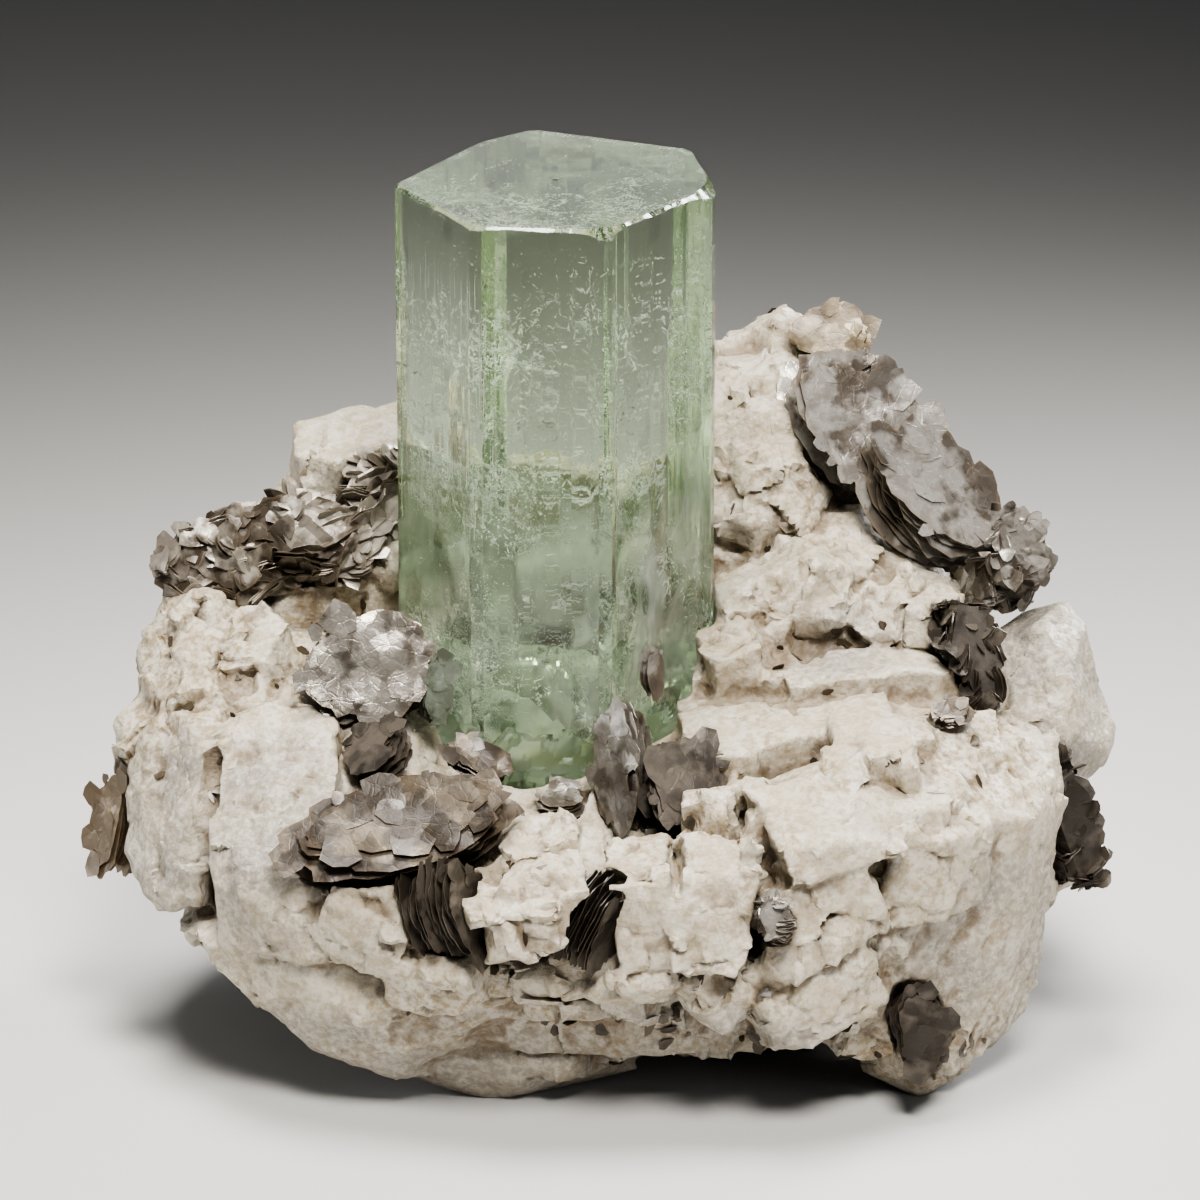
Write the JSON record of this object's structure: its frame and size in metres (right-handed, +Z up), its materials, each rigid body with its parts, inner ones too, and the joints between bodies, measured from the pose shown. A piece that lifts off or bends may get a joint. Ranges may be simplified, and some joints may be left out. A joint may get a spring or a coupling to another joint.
{
  "type": "aquamarine crystal on matrix",
  "caption": "Six-sided pale green aquamarine crystal standing in a rough block of white feldspar, with books of grey-brown mica around its foot.",
  "frame": {"origin": "under the middle of the specimen's box, on the surface that it rests on", "axes": "+Z up along the crystal, +X to the right and +Y away from someone who looks at the front"},
  "size_m": [0.1116, 0.085, 0.0934],
  "materials": {
    "aquamarine": "clear pale sea-green crystal with glossy faces and white veils inside",
    "feldspar": "cream-white cleaved rock with beige stains",
    "mica": "silver-grey to brown glossy leaves"
  },
  "bodies": {
    "root": {"aquamarine_crystal": "aquamarine", "feldspar_matrix": "feldspar", "mica_plate_left": "mica", "mica_book_crystal_foot": "mica", "mica_book_front_left": "mica", "mica_leaf_front": "mica", "mica_lump_left": "mica", "mica_plate_right": "mica", "mica_fan_right": "mica", "mica_flake_crystal": "mica", "mica_flake_hollow": "mica", "mica_blades_front_left": "mica", "mica_blades_front": "mica", "mica_leaf_peak": "mica", "mica_book_right_upper": "mica", "mica_book_right_lower": "mica", "mica_rosette_right": "mica", "mica_seam_right": "mica", "mica_seam_low_right": "mica", "mica_flake_right": "mica", "mica_pocket_front": "mica", "mica_foot_right": "mica", "mica_edge_left": "mica", "mica_book_back": "mica", "mica_cluster_left": "mica", "mica_cluster_back": "mica"}
  },
  "joints": []
}
